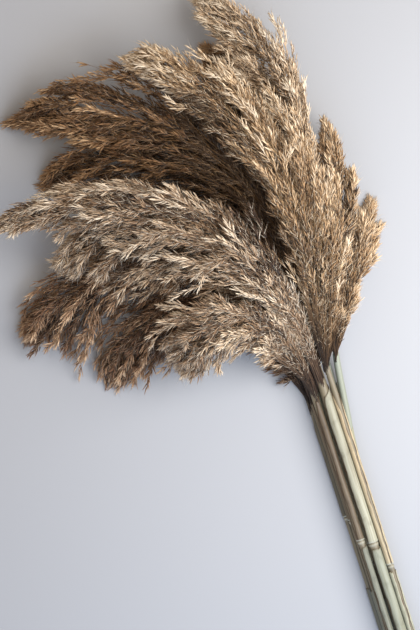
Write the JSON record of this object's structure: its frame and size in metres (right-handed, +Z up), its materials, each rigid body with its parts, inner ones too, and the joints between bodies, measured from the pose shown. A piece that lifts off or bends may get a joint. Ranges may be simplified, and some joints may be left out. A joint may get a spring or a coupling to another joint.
{
  "type": "bunch of dried pampas grass",
  "caption": "Bunch of cut, dried pampas reeds lying on its side: straight jointed stems in leaf sheaths, and feathery plumes that fan out and bow over to one side.",
  "frame": {"origin": "on the surface the bunch lies on, under the middle of its bounding box", "axes": "+Z up from the surface, +Y along the stems from their cut ends towards the plumes, and the plumes bow over towards -X"},
  "size_m": [0.2616, 0.6108, 0.0887],
  "materials": {
    "plume": "matte",
    "stem": "satin",
    "leaf": "satin"
  },
  "bodies": {
    "root": {"culm_01": "stem", "culm_02": "stem", "culm_03": "stem", "culm_04": "stem", "culm_05": "stem", "culm_06": "stem", "culm_07": "stem", "culm_08": "stem", "culm_09": "stem", "culm_10": "stem", "culm_11": "stem", "culm_12": "stem", "lower_sheath_01": "leaf", "lower_sheath_02": "leaf", "lower_sheath_03": "leaf", "lower_sheath_04": "leaf", "lower_sheath_05": "leaf", "lower_sheath_06": "leaf", "lower_sheath_07": "leaf", "lower_sheath_08": "leaf", "lower_sheath_09": "leaf", "lower_sheath_10": "leaf", "lower_sheath_11": "leaf", "lower_sheath_12": "leaf", "upper_sheath_01": "leaf", "upper_sheath_02": "leaf", "upper_sheath_03": "leaf", "upper_sheath_04": "leaf", "upper_sheath_05": "leaf", "upper_sheath_06": "leaf", "upper_sheath_07": "leaf", "upper_sheath_08": "leaf", "upper_sheath_09": "leaf", "upper_sheath_10": "leaf", "upper_sheath_11": "leaf", "upper_sheath_12": "leaf", "plume_01": "plume", "plume_02": "plume", "plume_03": "plume", "plume_04": "plume", "plume_05": "plume", "plume_06": "plume", "plume_07": "plume", "plume_08": "plume", "plume_09": "plume", "plume_10": "plume", "plume_11": "plume", "plume_12": "plume"}
  },
  "joints": []
}
